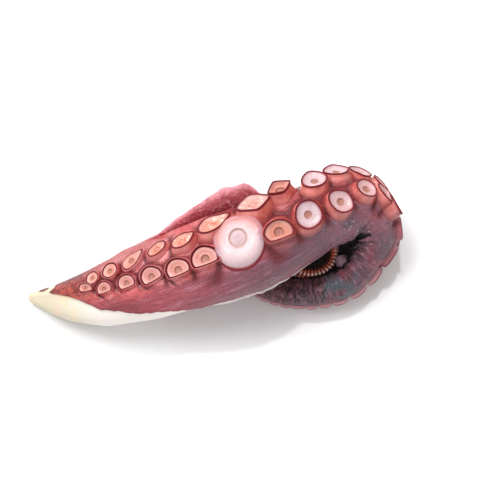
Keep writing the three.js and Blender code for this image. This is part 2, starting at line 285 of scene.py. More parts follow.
# mm of skin for each mm of core and for each radian round it, where each sucker stands
half_turn = 0.02
for one in suckers:
    s0, a0 = np.array([one.s]), np.array([one.angle])
    one.per_s = np.linalg.norm(plain_point(s0 + 0.5, a0) - plain_point(s0 - 0.5, a0))
    around = plain_point(s0, a0 + half_turn) - plain_point(s0, a0 - half_turn)
    one.per_angle = np.linalg.norm(around) / (2 * half_turn)

# %% [markdown]
# ## Relief of the skin
# The skin isn't a smooth tube. Each sucker stands on a low pad, creases with painted shade in them lie
# between the pads and run a little way down the side, and the skin is gathered in folds where the arm
# bends.
# All of this is a height that is added to the oval before the knife cuts it.

# %% Pads and creases
def pads(s, angle):
    """Height of the pads, and how near a point is to the line between two pads. Each pad is a
    flat top with a soft shoulder, and the highest one wins, which leaves a crease between."""
    height = np.zeros(np.broadcast(s, angle).shape)
    first, second = np.full((2, *height.shape), 9.0)
    for one in suckers:
        dx = (s - one.s) * one.per_s
        dy = (angle - one.angle) * one.per_angle
        reach = np.hypot(dx, dy) / (one.width / 2)
        top = one.width * (0.04 if one.big else np.interp(one.s, [90, 130], [0.05, 0.12]))
        height = np.maximum(height, top * (1 - rise(reach, 0.85, 1.65)))
        second = np.minimum(second, np.maximum(first, reach))
        first = np.minimum(first, reach)
    crease = hump(second - first, 0, 0.42) * window(first, 0.80, 1.05, 1.5, 2.1)
    return height, crease

near_row = [one for one in suckers if one.side == near]
def side_creases(s, angle):
    """Grooves that run down the near side from between two suckers of the near row. Each starts
    between two collars, leans towards the tip, and fades."""
    groove = np.zeros(np.broadcast(s, angle).shape)
    for before, after in zip(near_row[:14], near_row[1:15]):
        low = before.s + before.width / 2
        middle = (low + after.s - after.width / 2) / 2
        deep = np.degrees(angle) - np.degrees(after.angle)
        x = s - middle - 0.10 * deep - 0.003 * np.maximum(deep, 0) ** 2
        reach = 20 + 5 * np.cos(2.3 * before.index)
        depth = 0.25 if before.big or after.big else 1.0
        wide = 0.80 + 0.7 * (1 - rise(deep, 0, 20))
        groove = np.maximum(groove, depth * hump(x, 0, wide) * window(deep, -14, 2, reach - 12, reach + 6))
    return groove

# %% Folds and unevenness
def ripple(x, y, waves, low, high, seed):
    """A smooth random field: a sum of sine waves of two coordinates with random directions,
    lengths between low and high, and starts. It stays between about -1 and 1."""
    dice = np.random.default_rng(seed)
    total = np.zeros(np.broadcast(x, y).shape)
    for _ in range(waves):
        way, length, start = dice.uniform(0, np.pi), dice.uniform(low, high), dice.uniform(0, 2 * np.pi)
        total += np.sin(2 * np.pi * (x * np.cos(way) + y * np.sin(way)) / length + start)
    return total / np.sqrt(waves * 2.0)

def folds(s, angle):
    """Gathers on the inside of the hard bend and across the coil, a sag inside the coil that stops up the
    gap there and is painted black as shade, and soft unevenness all over, in mm along the arm and degrees
    around it."""
    turn = np.degrees(angle)
    inner = rise(turn, 60, 150) * window(s, 150, 172, 206, 236)
    gathers = 0.9 * inner * np.sin(2 * np.pi * (s / 5.2 + 0.25 * np.sin(turn / 17)))
    coil = rise(turn, 70, 120) * window(s, 212, 226, 262, 280)
    lines = 0.35 * coil * np.sin(2 * np.pi * ((s + turn * 0.12) / 2.6))
    # a sag that fills the gap inside the coil; it is painted black as shade
    shade_sag = 12.0 * hump(s, 201, 16) * hump((turn + 135 + 180) % 360 - 180, 0, 30)
    soft = 0.30 * ripple(s, turn * 0.30, waves=9, low=8, high=26, seed=3) * window(s, 25, 60, 250, 310)
    return gathers + lines + soft + shade_sag

thickest = 17.0

def relief(s, angle):
    """All heights together, weaker where the arm is thin, and the mask of the creases, which the paint
    darkens as shade.
    """
    height, crease = pads(s, angle)
    groove = side_creases(s, angle)
    thin = along(depth_half, s) / thickest
    total = height - groove * thin + folds(s, angle) * np.clip(thin * 1.4, 0.2, 1)
    total = total - 0.55 * crease * thin
    # the last turn of the curled tip is swollen and stops up the hole; there it is painted black as shade
    total = total + 2.6 * window(s, 338, 343, 357, 361)
    return total, np.maximum(crease, groove)

# %% Skin, knife cut and lip
# all in mm: thickness of the skin and height of its lip at the cut; from where along the core the
# skin closes round, and from where the side cut bares the flesh; the lowest height and least radius
skin_depth, lip_height, skin_from, bared_from, floor, least_radius = 0.55, 0.40, 15.5, 12, 0.02, 0.3

def skin_surface(s, angle):
    """Point on the finished skin, with its masks. Inside the knife cut the radius is the oval's
    share that the cut leaves; outside it the relief is added, and the rim of the skin stands up
    in a thin lip. Towards the cut end the flesh is bare all round, but for one scrap of skin."""
    height, crease = relief(s, angle)
    inside, left = cut(s, angle)
    turn = np.degrees(angle)
    frayed = inside + 0.7 * np.sin(s * 0.31) + 0.5 * np.sin(s * 1.1 + 1)
    border = skin_from + 1.2 * np.sin(angle * 3 + 0.6) + 0.8 * np.sin(angle * 7) - 2.0 * hump(turn, -12, 14)
    border = border + 10.0 * hump((turn + 35) % 360, 180, 26)
    scrap = rise(hump(s, 8.2, 3.4) * hump(turn, -52, 26), 0.42, 0.60)
    bare = (1 - rise(s - border, -0.6, 0.6)) * (1 - scrap)
    flesh = np.maximum(rise(frayed, -1.2, 1.2) * (s < cut_length) * (s > bared_from), bare)
    lip = lip_height * hump(frayed, -2.4, 2.4) * (s < 126) * (s > 16) * (1 - bare)
    sunken = skin_depth * np.clip(s / 8, 0, 1) * flesh
    r = oval(s, angle) * left + height * (1 - flesh) - sunken + lip
    point = along(core, s) + outward(s, angle) * np.maximum(r, least_radius)[..., None]
    point[..., 2] = np.maximum(point[..., 2], floor)
    rim = np.maximum(hump(frayed, -1.2, 2.6) * (s < 128) * (s > 15), hump(s - border, 0.8, 1.0))
    return point, flesh, crease, rim

def pink_amount(s, angle):
    """1 on the sucker side, fading down both sides."""
    turn = np.degrees(angle)
    edge = np.interp(s, [0, 40, 90, 130, 170, 186, 230], [34, 38, 42, 50, 46, 22, 20])
    edge = edge + np.where(turn < 0, 34, 0)
    patchy = 5 * ripple(s, turn, waves=6, low=9, high=30, seed=5)
    return 1 - rise(np.abs(turn) + patchy, edge - 12, edge + 14)

def way_of(s, angle):
    """Three smooth numbers for the paint: cosine and sine of the angle, and s in units of 100 mm."""
    return np.stack([np.cos(angle), np.sin(angle), s / 100], -1)

# %% [markdown]
# ## The skin as a mesh
# The skin is one closed sheet: rows run round the arm, columns run along it, and both ends are
# closed by a ring of triangles. Masks that the paint needs, such as where the flesh is bare,
# are kept on the mesh as named numbers for each point.

# %% Mesh helpers
def fan(centre, ring, flip):
    """Triangles from a centre point to each side of a ring."""
    following = np.roll(ring, -1)
    middle = np.full(len(ring), centre)
    return np.stack([middle, following, ring] if flip else [middle, ring, following], -1)

def tube_faces(rows, columns, start=0):
    """Corner numbers of the quads of a grid that is closed round its columns, and of the triangles
    that close its first and its last ring to two points which follow the grid."""
    i, j = np.meshgrid(np.arange(rows - 1), np.arange(columns), indexing="ij")
    k = (j + 1) % columns
    corners = [i * columns + j, i * columns + k, (i + 1) * columns + k, (i + 1) * columns + j]
    total, first = rows * columns, np.arange(columns) + start
    last = first + total - columns
    caps = [fan(start + total, first, True), fan(start + total + 1, last, False)]
    return np.stack(corners, -1).reshape(-1, 4) + start, np.concatenate(caps)

def with_ends(grid):
    """The rows of a grid one after another, then the means of its first and of its last ring."""
    return np.concatenate([grid.reshape(-1, *grid.shape[2:]), [grid[0].mean(0), grid[-1].mean(0)]])

def make_piece(name, points, quads, triangles, masks):
    """A smooth mesh from arrays in mm, with its masks, turned so that its faces look out. A mask
    is one number or three for each point."""
    a, b, c = points[np.concatenate([quads[:, :3], quads[:, [0, 2, 3]], triangles]).T]
    volume = (a * np.cross(b, c)).sum() / 6
    way = -1 if volume < 0 else 1
    loops = np.concatenate([quads[:, ::way].ravel(), triangles[:, ::way].ravel()]).astype(np.int32)
    sizes = np.repeat([4, 3], [len(quads), len(triangles)])
    starts = (np.cumsum(sizes) - sizes).astype(np.int32)
    mesh = bpy.data.meshes.new(name)
    mesh.vertices.add(len(points))
    mesh.vertices.foreach_set("co", (points * MM).astype(np.float32).ravel())
    mesh.loops.add(len(loops))
    mesh.loops.foreach_set("vertex_index", loops)
    mesh.polygons.add(len(sizes))
    mesh.polygons.foreach_set("loop_start", starts)
    mesh.polygons.foreach_set("use_smooth", np.ones(len(sizes), bool))
    mesh.update(calc_edges=True)
    mesh.validate()
    for key, values in masks.items():
        kind, field = ("FLOAT", "value") if values.ndim == 1 else ("FLOAT_VECTOR", "vector")
        layer = mesh.attributes.new(key, kind, "POINT")
        layer.data.foreach_set(field, values.astype(np.float32).ravel())
    piece = bpy.data.objects.new(name, mesh)
    stage_scene.collection.objects.link(piece)
    print(name, "faces:", len(sizes), "volume, cubic cm:", round(abs(volume) / 1000, 2))
    return piece

# %% The arm's skin
skin_rows, skin_columns = 640, 148
s_line = arm_length * (1 - (1 - np.linspace(0, 1, skin_rows)) ** 1.15)
angle_line = np.linspace(-np.pi, np.pi, skin_columns, endpoint=False)
s_grid, angle_grid = np.meshgrid(s_line, angle_line, indexing="ij")
skin_points, flesh, crease, rim = skin_surface(s_grid, angle_grid)
turn_grid = np.degrees(angle_grid)
print("skin points:", skin_points.shape)

# %% Masks of the coil and its hollow
# the inside of the coil, painted black as shade, and the streaked skin beside it
streaks = rise(turn_grid, 42, 76) * window(s_grid, 174, 204, 268, 282)
inner_from = np.interp(s_grid, [212, 236], [142, 166])
inside = np.maximum(rise(np.abs(turn_grid) - inner_from, 0, 16), rise(-turn_grid, 80, 110))
hollow_shade = inside * rise(s_grid, 150, 170)
curled = np.maximum(rise(turn_grid, 12, 48), rise(-turn_grid, 60, 95)) * rise(s_grid, 285, 300)
hollow_shade = np.maximum(np.maximum(hollow_shade, curled), rise(s_grid, 341, 347))

def crevice(points, start, end, wide):
    """1 within a wedge in plan that narrows from its start to its end and has ragged sides."""
    way = np.subtract(end, start)
    offset = points[..., :2] - start
    share = np.clip(offset @ way / (way @ way), 0, 1)
    ragged = 0.5 * np.sin(points[..., 0] * 2.9 + points[..., 1]) + 0.3 * np.sin(points[..., 0] * 7.1)
    off = np.linalg.norm(offset - share[..., None] * way, axis=-1) + 0.4 * ragged
    return 1 - rise(off / (wide * (1 - share) + 0.25), 0.75, 1.15)

knob_centre, knob_radius = np.array([61.8, -5.6, 13.2]), 3.3
# painted shade: black crevices and a black ring round the knob
knob_shade = 1 - rise(np.linalg.norm(skin_points - knob_centre, axis=-1), 4.0, 5.0)
on_coil = (s_grid > 172) * (s_grid < 232)
crevice_shade = np.maximum(crevice(skin_points, (64.5, 2.6), (75.6, 3.9), 2.6),
                    crevice(skin_points, (63.5, 1.0), (69.5, -2.2), 1.6)) * on_coil * (turn_grid > 40)
hollow_shade = np.maximum(hollow_shade, np.maximum(crevice_shade, knob_shade * on_coil))
skin_masks = dict(flesh=flesh, crease=crease, pink=pink_amount(s_grid, angle_grid), streaks=streaks,
                  hollow_shade=hollow_shade, cut_rim=rim, way=way_of(s_grid, angle_grid))
arm_skin = make_piece("arm_skin", with_ends(skin_points), *tube_faces(skin_rows, skin_columns),
                      {key: with_ends(values) for key, values in skin_masks.items()})

# %% [markdown]
# ## Suckers
# A sucker is a soft cup. On the thick bend it stands on a stalk that narrows a little under the
# rim; near the cut end it lies sunk in a fleshy collar with a groove between; the largest is a
# broad cushion. Each is a profile carried round its axis. The lowest rings follow the skin, and
# the rings above turn to the sucker's own axis. No two are alike: some are drawn out to a leaf,
# some have a flat lip.

# %% Profiles of a sucker
rings, knots = 41, 21

def profile(radius, lift, free, rim_shade, dish):
    """A smooth profile from foot to pit: radius and height as shares of the sucker's, how far a ring has
    left the skin, how much painted shade the fold under the rim gets there, and whether it is inside the
    dish. A list that stops early keeps its last value."""
    columns = [list(one) + [one[-1]] * (knots - len(one)) for one in (radius, lift, free, rim_shade, dish)]
    return smooth_through(np.transpose(columns), rings)

# on a stalk
standing = profile(
    [1.44, 1.26, 1.12, 1.04, 1.00, 0.975, 0.965, 0.985, 1.010, 1.000, 0.965, 0.905, 0.80, 0.66, 0.52,
     0.41, 0.355, 0.315, 0.27, 0.18, 0.08],
    [-0.20, 0.00, 0.16, 0.34, 0.52, 0.68, 0.77, 0.84, 0.90, 0.965, 0.995, 0.96, 0.84, 0.72, 0.645,
     0.62, 0.63, 0.60, 0.51, 0.46, 0.44],
    [0, 0.05, 0.35, 0.75, 1], [0, 0, 0, 0, 0, 0, 0.7, 1, 1, 1, 1, 1, 0.12, 0], [0] * 11 + [1])
# low and round, on the coil
bun = profile(
    [1.44, 1.28, 1.16, 1.09, 1.065, 1.060, 1.050, 1.025, 0.98, 0.93, 0.87, 0.80, 0.72, 0.62, 0.51,
     0.41, 0.355, 0.315, 0.27, 0.18, 0.08],
    [-0.20, 0.00, 0.16, 0.32, 0.46, 0.60, 0.72, 0.83, 0.92, 0.97, 0.98, 0.95, 0.89, 0.81, 0.765,
     0.745, 0.755, 0.735, 0.665, 0.62, 0.60],
    [0, 0.05, 0.35, 0.75, 1], [0, 0, 0, 0, 0.2, 1, 1, 1, 1, 0.6, 0.1, 0], [0] * 9 + [0.5, 1])
# sunk in a collar, near the cut end
sunk = profile(
    [1.62, 1.50, 1.40, 1.30, 1.22, 1.15, 1.10, 1.06, 1.03, 1.005, 0.97, 0.91, 0.83, 0.70, 0.56,
     0.43, 0.36, 0.315, 0.27, 0.18, 0.08],
    [-0.20, 0.06, 0.40, 0.74, 0.92, 0.88, 0.62, 0.36, 0.32, 0.52, 0.66, 0.68, 0.62, 0.52, 0.45,
     0.44, 0.46, 0.40, 0.28, 0.20, 0.18],
    [0, 0, 0, 0.1, 0.35, 0.8, 1], [0, 0, 0, 0, 0, 0.1, 0.9, 1, 1, 1, 1, 0.35, 0], [0] * 9 + [0.2, 1])
# the broad cushion of the largest one
cushion = profile(
    [1.12, 1.08, 1.04, 1.015, 1.005, 0.995, 0.975, 0.945, 0.90, 0.84, 0.76, 0.67, 0.58, 0.49, 0.42,
     0.375, 0.345, 0.315, 0.26, 0.16, 0.07],
    [-0.30, -0.05, 0.04, 0.14, 0.28, 0.42, 0.56, 0.69, 0.81, 0.90, 0.97, 1.00, 0.99, 0.96, 0.935,
     0.95, 0.93, 0.82, 0.80, 0.83, 0.84],
    [0, 0, 0.05, 0.15, 0.25, 0.3, 0.35, 0.4, 0.4, 0.45, 0.5], [0.2, 0.7, 1, 0.8, 0.3, 0],
    [0, 0, 0, 0, 0.4, 1])
print("rings of a sucker:", rings)

# %% Suckers with a shape of their own
# long and short way as shares of the radius, where the long way points in degrees, and how orange
# and how pale the dish is; then, for some, how round the leaf is (2 is an oval) or how pointed, how
# far the rim folds up at its sides, where a flat lip cuts it off and how far that lip is turned
columns = ("long", "short", "turn", "orange", "pale")
own_shapes = {
    near: [(1.25, 0.80, 20, 0.60, 0.2, dict(lip=0.50, fold=0.25)),
           (1.10, 1.02, 0, 0.30, 0.2, dict(lip=0.50, lip_turn=-2)),
           (1.08, 0.98, 0, 0.25, 0.2, dict(lip=0.46, lip_turn=-4)),
           (1.08, 1.00, 10, 0.20, 0.2, dict(lip=0.44, lip_turn=-10)),
           (1.04, 0.96, 0, 0.30, 0.2, dict(lip=0.38, lip_turn=-2)),
           (1.04, 0.94, 0, 0.30, 0.2, dict(lip=0.38, lip_turn=2)),
           (1.00, 1.00, 10, 0.00, 1.0, dict(round=2.15, fold=0.0)),
           (1.08, 0.94, 14, 0.75, 0.2, dict(round=1.7, fold=0.06, lip=0.46, lip_turn=4)),
           (1.03, 1.06, 10, 0.15, 1.0, dict(round=2.1, fold=0.02)),
           (1.12, 0.96, 62, 0.15, 0.75, dict(round=1.75, fold=0.06)),
           (1.02, 0.86, 40, 0.15, 0.6, dict(round=1.9, fold=0.06)),
           (1.05, 0.72, 35, 0.15, 0.5, dict(round=1.4, fold=0.14)),
           (1.05, 0.95, None, 0.50, 0.2, dict(tall=1.2)), (1.12, 0.95, None, 0.15, 0.2, dict(tall=0.6)),
           *[(long, 0.95, None, 0.15, 0.2, {}) for long in (1.28, 1.25, 1.15)]],
    far: [(1.04, 0.96, -20, 0.70, 0.2, {}), (1.08, 0.94, -35, 0.75, 0.2, {}),
          (1.28, 0.80, -28, 0.60, 0.2, dict(point=0.35)), (1.10, 0.62, -24, 0.85, 0.2, {}),
          (1.04, 0.74, -20, 0.95, 0.2, dict(round=1.9, point=0.2)),
          (1.16, 0.92, -20, 1.00, 0.2, dict(round=1.75, point=0.35)),
          (1.24, 1.14, -8, 0.90, 0.4, dict(round=1.4, point=0.12, tall=1.15)),
          (0.98, 0.78, -6, 0.60, 0.2, dict(round=1.2, fold=0.10, tall=1.5)),
          (1.06, 1.04, 0, 0.15, 0.9, dict(round=1.8, fold=0.06)),
          (1.20, 0.96, 12, 0.15, 0.9, dict(round=1.5, fold=0.10)),
          (1.12, 0.92, 6, 0.15, 0.7, dict(round=1.6, fold=0.08))]}
print("own shapes:", {side: len(rows) for side, rows in own_shapes.items()})

def shape_of(one):
    """A shape thrown from the dice of the sucker's row and number, then what is its own."""
    dice = np.random.default_rng(100 * one.index + (7 if one.side == near else 31))
    shape = dict(long=dice.uniform(0.98, 1.08), short=dice.uniform(0.92, 1.02), round=2.0, point=0.0,
                 fold=dice.uniform(0, 0.04), lip=2.0, lip_turn=0.0, turn=dice.uniform(-25, 25),
                 orange=0.15, pale=0.2, tall=1.0)
    if one.s > 300:  # a tooth of the curled tip
        shape.update(long=0.82, short=1.05, turn=0.0)
    for *numbers, more in own_shapes[one.side][one.index:one.index + 1]:
        own = {key: number for key, number in zip(columns, numbers) if number is not None}
        shape.update(own, **more)
    return SimpleNamespace(**shape), dice

# %% Axis of a sucker
def axis_of(one):
    """The way a sucker faces: out of the section at its row's own angle, leaned along the arm as
    the skin leans there. With it come the skin's own normal and the two ways across the axis."""
    s, angle = np.array(one.s), np.array(one.angle)
    lengthwise = plain_point(s + 0.5, angle) - plain_point(s - 0.5, angle)
    across = plain_point(s, angle + 0.05) - plain_point(s, angle - 0.05)
    normal = np.cross(across, lengthwise)
    normal *= np.sign(normal @ outward(s, angle)) / np.linalg.norm(normal)
    forward = along(ahead, s)
    facing = np.radians(np.interp(one.s, *(near_facing if one.side == near else far_facing)))
    axis = outward(s, np.array(facing)) + forward * (normal @ forward)
    axis /= np.linalg.norm(axis)
    e1 = lengthwise - axis * (lengthwise @ axis)
    e1 /= np.linalg.norm(e1)
    e2 = np.cross(axis, e1)
    return normal, axis, e1, e2 * np.sign(e2 @ across)

# %% Outline of a rim
def outline_of(shape, spoke, dice, uneven):
    """Radius of the rim at each spoke, a circle drawn out to a leaf by a power between 1.2 and 2,
    with one end pointed if asked, and made a little uneven by three waves."""
    turn, power = np.radians(shape.turn), shape.round
    leaf = (np.abs(np.cos(spoke - turn)) ** power + np.abs(np.sin(spoke - turn)) ** power) ** (-1 / power)
    from_point = (spoke - turn + np.pi) % (2 * np.pi) - np.pi
    leaf = leaf * (1 + shape.point * hump(from_point, 0, 0.35))
    wobble = sum(size * np.sin(waves * spoke + dice.uniform(0, 6))
                 for size, waves in ((0.022, 2), (0.018, 3), (0.010, 5)))
    return leaf * (1 + uneven * wobble)

# %% Points of one sucker
# shares of the width: height of the largest, and how deep the bottom is set under the skin
big_height, set_deep = 0.15, 0.10

def sucker_points(one, spokes, every):
    """Points of one sucker, a point at its bottom, and its masks. Low rings are laid on the skin at
    their distance from the middle, high rings stand round the axis, and between them the two are
    mixed. A flat lip pushes back whatever lies beyond it."""
    shape, dice = shape_of(one)
    upright = float(rise(one.s, *((96, 126) if one.side == near else (45, 70))))
    rounded = float(rise(one.s, 172, 188))
    mixed = sunk * (1 - upright) + (standing * (1 - rounded) + bun * rounded) * upright
    share, lift, free, fold_shade, dish = (cushion if one.big else mixed)[::every].T[..., None]
    # the rim's outline, in the sucker's own plane
    spoke = np.linspace(0, 2 * np.pi, spokes, endpoint=False)
    turn, lip_turn = np.radians(shape.turn), np.radians(shape.lip_turn)
    at_rim = rise(share, 0.3, 0.9)
    drawn = 1 + (outline_of(shape, spoke, dice, 0.4 if one.big else 1.0) - 1) * at_rim
    u = share * drawn * np.cos(spoke - turn) * (1 + (shape.long - 1) * at_rim)
    v = share * drawn * np.sin(spoke - turn) * (1 + (shape.short - 1) * at_rim)
    x, y = u * np.cos(turn) - v * np.sin(turn), u * np.sin(turn) + v * np.cos(turn)
    lip_x, lip_y = -np.sin(lip_turn), np.cos(lip_turn) * one.side
    beyond = (x * lip_x + y * lip_y) - shape.lip * np.maximum(share, 0.55)
    over = np.maximum(beyond, 0) * (1 - 0.16 * np.clip(share, 0, 1.2))
    x, y = x - over * lip_x, y - over * lip_y
    # rings that stand round the axis
    radius = one.width / 2
    s0, a0 = np.array(one.s), np.array(one.angle)
    middle = skin_surface(s0[None], a0[None])[0][0]
    normal, axis, e1, e2 = axis_of(one)
    tall = one.width * (big_height if one.big else np.interp(one.s, *tallness))
    tall *= shape.tall * (1.3 if one.side == far and 45 < one.s < 110 else 1.0)
    curl = shape.fold * np.abs(v) ** 1.6 + 0.02 * np.sin(2 * spoke + dice.uniform(0, 6))
    height = lift * tall + curl * radius * free * rise(share, 0.2, 0.9) * (not one.big)
    stand = middle + axis * height[..., None] + (e1 * x[..., None] + e2 * y[..., None]) * radius
    # rings that lie on the skin
    on_s, on_angle = s0 + x * radius / one.per_s, a0 + y * radius / one.per_angle
    laid, _, crease, _ = skin_surface(on_s, on_angle)
    laid = laid + normal * np.where(lift < 0, -0.7, lift * tall)[..., None]
    points = laid * (1 - free[..., None]) + stand * free[..., None]
    points[..., 2] = np.maximum(points[..., 2], floor)
    same = np.zeros(x.shape)
    masks = dict(radial=share, rim_shade=fold_shade, dish=dish, orange=shape.orange, pale=shape.pale,
                 big=one.big, pink=pink_amount(on_s, on_angle), crease=crease * (1 - free))
    masks = {key: values + same for key, values in masks.items()}
    masks["rays"] = np.stack([np.cos(spoke) + same, np.sin(spoke) + same, share + one.s + same], -1)
    masks["way"] = way_of(on_s, on_angle)
    return points, middle - normal * (set_deep * one.width + 0.6), masks

# %% Many suckers in one mesh
def sucker_piece(name, chosen, spokes, every=1):
    """Many suckers joined in one mesh, with the masks that the paint needs."""
    parts, faces, masks, start = [], [], [], 0
    for one in chosen:
        points, bottom, own_masks = sucker_points(one, spokes, every)
        closed = with_ends(points)
        closed[-2] = bottom
        parts.append(closed)
        faces.append(tube_faces(len(points), spokes, start))
        masks.append({key: with_ends(values) for key, values in own_masks.items()})
        start += len(closed)
    quads, triangles = map(np.concatenate, zip(*faces))
    joined = {key: np.concatenate([each[key] for each in masks]) for key in masks[0]}
    return make_piece(name, np.concatenate(parts), quads, triangles, joined)

# %% The two rows, large and small
def between(low, high):
    """The suckers whose distance along the arm is at least low and less than high."""
    return [one for one in suckers if low <= one.s < high]

large_suckers = sucker_piece("large_suckers", between(0, 178), 72)
middling_suckers = sucker_piece("middling_suckers", between(178, 245), 44)
tiny_suckers = sucker_piece("tiny_suckers", between(245, arm_length), 20, 2)

# %% [markdown]
# ## Web
# Between the arms of an octopus there is a web of skin. Where this arm was cut free, a frill of
# it is left on the far side and a thin pale line on the near side. A frill is a thin sheet whose
# height swells and dies along the arm, with a wavy free edge.

# %% Frill and line of cut web
def web_strip(name, from_s, to_s, foot_angle, lean_angle, height, peak, thickness, wave, rows=120):
    """A closed thin strip. Its section is a loop up one side and down the other; its height is a
    half sine wave of the way to its peak, and its free edge sways by a sine of the distance."""
    set_in, more_lean = 1.4, 14.0
    t = np.linspace(0, 1, rows)
    s = from_s + (to_s - from_s) * t
    foot_at = np.radians(foot_angle) + 0.03 * np.sin(t * 9)
    up_way = np.where(t < peak, t / peak, (1 - t) / (1 - peak))
    tall = height * (0.05 + 0.95 * np.sin(up_way * np.pi / 2) ** 1.5)
    tall = tall * (1 + 0.04 * np.sin(t * 21) + 0.02 * np.sin(t * 47 + 1))
    root = skin_surface(s, foot_at)[0] - outward(s, foot_at) * set_in
    ring = np.linspace(0, 2 * np.pi, 28, endpoint=False)
    climb = np.tile((1 - np.cos(ring)) / 2, (rows, 1))
    sway = wave * np.sin(t * 17 + 0.5)[:, None] * climb**2
    sideways = np.sin(ring) * (1 - 0.72 * climb) * thickness * 0.5 + sway
    low_way, high_way = (outward(s, np.full(rows, np.radians(lean)))[:, None]
                         for lean in (lean_angle, lean_angle + more_lean * np.sign(foot_angle)))
    side = np.cross(along(ahead, s), low_way[:, 0])
    side /= np.linalg.norm(side, axis=1)[:, None]
    up_by = climb[..., None]
    travel = (tall[:, None, None] + set_in) * up_by
    points = root[:, None] + (low_way * (1 - up_by) + high_way * up_by) * travel
    points = points + side[:, None] * sideways[..., None]
    return make_piece(name, with_ends(points), *tube_faces(*climb.shape), {"climb": with_ends(climb)})

web_frill = web_strip("web_frill", 66, 128, -62, -34, 10.6, 0.84, 1.3, 0.7)
web_line = web_strip("web_line", 72, 135, 112, 100, 1.9, 0.45, 1.2, 0.15)

# %% Knob of skin in the hollow of the coil
def knob(name, centre, radius, rows=24, around=36):
    """A slightly flattened ball: each ring's radius is the sine of its way down from the top."""
    pole = 0.06
    down = np.linspace(pole, np.pi - pole, rows)[:, None]
    ring = np.linspace(0, 2 * np.pi, around, endpoint=False)[None]
    uneven = 1 + 0.06 * np.sin(2 * ring + 1) * np.sin(down) + 0.04 * np.sin(3 * ring) * np.sin(down)
    points = np.stack([np.sin(down) * np.cos(ring) * uneven, np.sin(down) * np.sin(ring) * uneven * 1.1,
                       np.cos(down) + 0 * ring], -1) * radius + centre
    climb = (1 + np.cos(down)) / 2 + 0 * ring
    return make_piece(name, with_ends(points), *tube_faces(rows, around), {"climb": with_ends(climb)})

skin_knob = knob("skin_knob", knob_centre, knob_radius)

# %% [markdown]
# ## Writing materials as sums
# A material is a chain of nodes. To keep the chains readable, one small class stands for a value
# on its way through the nodes, and its plus, minus, times and so on add the Math nodes.

# %% A value in a material
class Flow:
    """One output of a node, with the operators that the recipes use."""
    def __init__(self, paint, socket):
        self.paint, self.socket = paint, socket

    def sum(self, how, first, second):
        return self.paint.node("Math", 0, {0: first, 1: second}, operation=how)

    def __add__(self, other): return self.sum("ADD", self, other)
    def __radd__(self, other): return self.sum("ADD", other, self)
    def __sub__(self, other): return self.sum("SUBTRACT", self, other)
    def __rsub__(self, other): return self.sum("SUBTRACT", other, self)
    def __mul__(self, other): return self.sum("MULTIPLY", self, other)
    def __rmul__(self, other): return self.sum("MULTIPLY", other, self)
    def least(self, other): return self.sum("MINIMUM", self, other)

    def step(self, low, high):
        """0 below low, 1 above high and a smooth S between; low may be above high."""
        values = {"Value": self, "From Min": low, "From Max": high, "To Min": 0.0, "To Max": 1.0}
        return self.paint.node("MapRange", 0, values, interpolation_type="SMOOTHSTEP")

# %% A material and its nodes
class Paint:
    """A new material, with one method that adds any node and a short one for each common node."""
    def __init__(self, name):
        self.material = bpy.data.materials.new(name)
        self.material.use_nodes = True
        self.tree = self.material.node_tree

    def give(self, socket, value):
        """Links a flow to a socket, or sets the socket to a plain value."""
        if isinstance(value, Flow):
            self.tree.links.new(value.socket, socket)
        else:
            socket.default_value = value

    def node(self, kind, output, values, **settings):
        """Adds a node, sets its settings first, then gives its sockets values or links, and hands
        back one output."""
        node = self.tree.nodes.new("ShaderNode" + kind)
        for key, value in settings.items():
            setattr(node, key, value)
        for key, value in values.items():
            self.give(node.inputs[key], value)
        return Flow(self, node.outputs[output])

    def mask(self, name, output="Fac"):
        return self.node("Attribute", output, {}, attribute_name=name)

    def masks(self, *names):
        return [self.mask(name) for name in names]

    def place(self):
        return self.node("TexCoord", "Object", {})

    def part(self, vector, number):
        return self.node("SeparateXYZ", number, {0: vector})

    def noise(self, vector, scale, detail=3.0, rough=0.55, twist=0.0):
        return self.node("TexNoise", 0, {"Vector": vector, "Scale": scale, "Detail": detail,
                                         "Roughness": rough, "Distortion": twist})

    def combed(self, vector, by, *rest):
        """Noise of a vector whose three numbers are multiplied first: a small one draws it out."""
        return self.noise(self.node("VectorMath", 0, {0: vector, 1: by}, operation="MULTIPLY"), 1.0, *rest)

    def cells(self, vector, scale):
        return self.node("TexVoronoi", "Distance", {"Vector": vector, "Scale": scale})

    def mix(self, share, first, second):
        """Colour that goes from the first to the second as share goes from 0 to 1."""
        return self.node("Mix", 2, {0: share, 6: first, 7: second}, data_type="RGBA")

    def layers(self, colour, *over):
        """Lays colours over a first one. Each layer is a share and a red, a green and a blue."""
        for share, upper in over:
            colour = self.mix(share, colour, tone(*upper))
        return colour

    def shade(self, colour, factor):
        """A colour made lighter or darker by a number that varies."""
        return self.node("VectorMath", 0, {0: colour, "Scale": factor}, operation="SCALE")

    def bump(self, height, distance, strength):
        return self.node("Bump", 0, {"Height": height, "Distance": distance, "Strength": strength})

    def finish(self, **sockets):
        """Gives the main shader its values and links."""
        for key, value in sockets.items():
            self.give(self.tree.nodes["Principled BSDF"].inputs[key.replace("_", " ")], value)
        return self.material

def tone(red, green, blue):
    """A colour from 0 to 255 as the eye sees it, turned to the light that the renderer adds up."""
    c = np.array([red, green, blue]) / 255
    c = np.where(c > 0.04045, ((c + 0.055) / 1.055) ** 2.4, c / 12.92)
    return (*c.tolist(), 1.0)

# %% [markdown]
# ## Paint of the skin and flesh
# Boiled octopus skin is mauve on the side and salmon between the suckers, with fine dark dots
# from its colour cells, and it turns grey and slate towards the coil. The cut flesh is ivory.
# Masks kept on the mesh say where each is, and noise of several sizes breaks the colours up.

